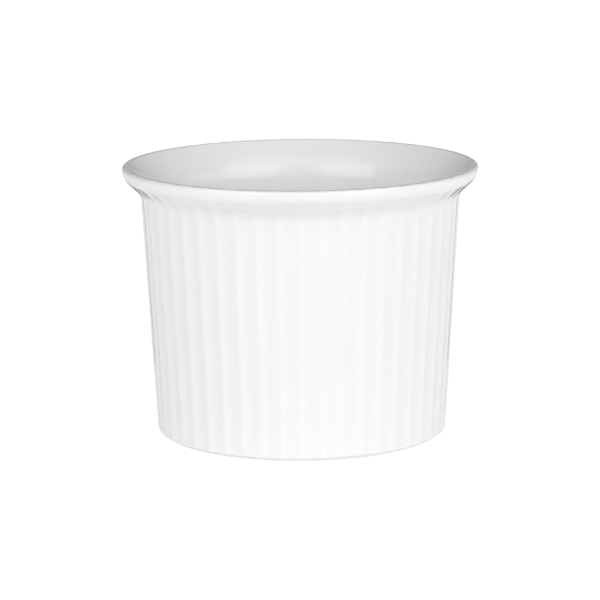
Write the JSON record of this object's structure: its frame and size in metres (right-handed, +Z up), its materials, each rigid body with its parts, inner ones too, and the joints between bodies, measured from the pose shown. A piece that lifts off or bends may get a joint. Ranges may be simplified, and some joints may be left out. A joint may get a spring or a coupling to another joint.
{
  "type": "ramekin",
  "caption": "Deep round white porcelain ramekin with a fluted, slightly tapered wall and a flared plain lip.",
  "frame": {"origin": "centre of the foot ring's face, on the surface that the pot stands on", "axes": "+Z up along the pot's centre line, -Y towards the front ridge; the pot looks alike from every side"},
  "size_m": [0.09, 0.09, 0.0687],
  "materials": {
    "porcelain": "bare fired porcelain, fine matte",
    "glaze": "white gloss glaze"
  },
  "bodies": {
    "root": {"porcelain_body": "porcelain", "glaze_coat": "glaze", "base_glaze": "glaze"}
  },
  "joints": []
}
